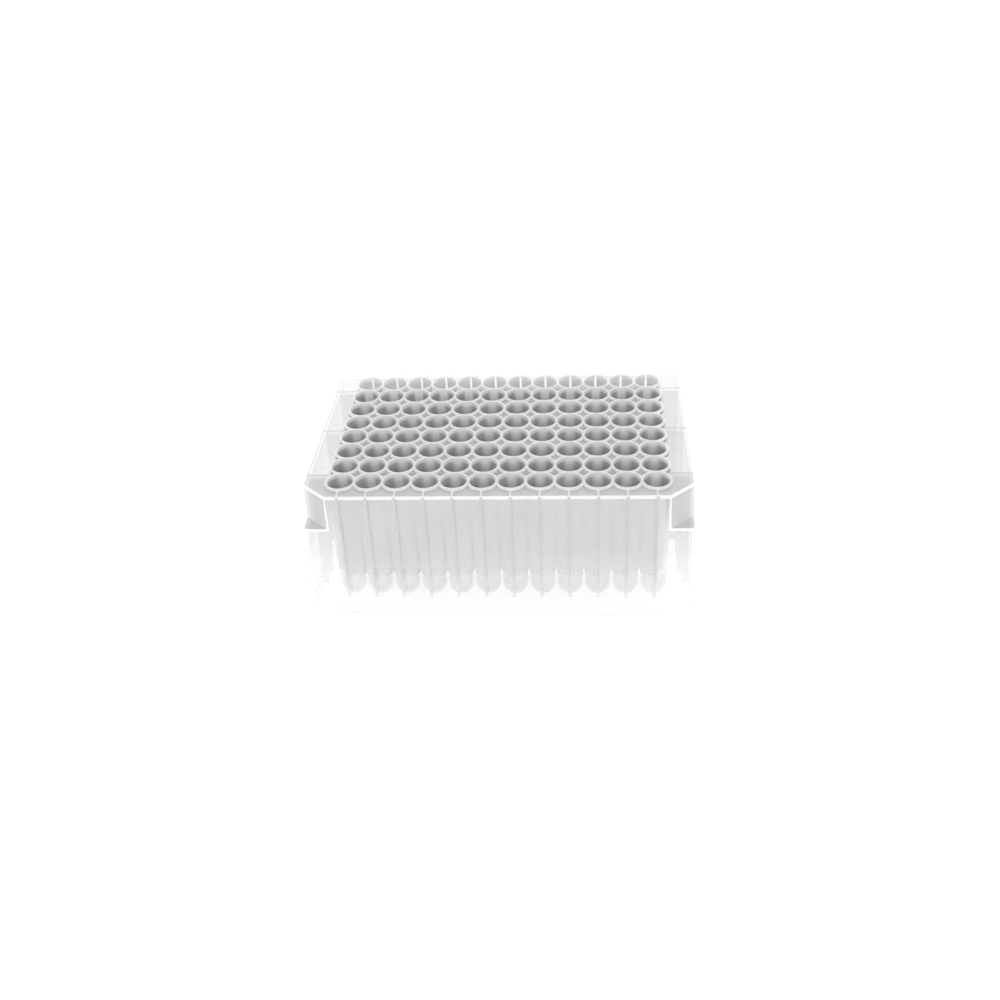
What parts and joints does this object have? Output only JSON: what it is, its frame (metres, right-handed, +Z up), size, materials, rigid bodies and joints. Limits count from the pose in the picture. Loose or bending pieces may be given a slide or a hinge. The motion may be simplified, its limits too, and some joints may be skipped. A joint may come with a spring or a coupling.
{
  "type": "well plate",
  "caption": "Deep-well plate: a grid of round-bottomed wells under a flat deck, in a ribbed skirt with a flanged base and cut corners.",
  "frame": {"origin": "centre of the base, on the plane that the plate stands on", "axes": "+X along the plate's length, from column 1 to the last column; +Z up, out of the wells' mouths; the two cut corners face -Y"},
  "size_m": [0.1278, 0.0854, 0.046],
  "materials": {
    "polypropylene": "natural, see-through polypropylene with a smooth moulded gloss"
  },
  "bodies": {
    "root": {"plate": "polypropylene"}
  },
  "joints": []
}
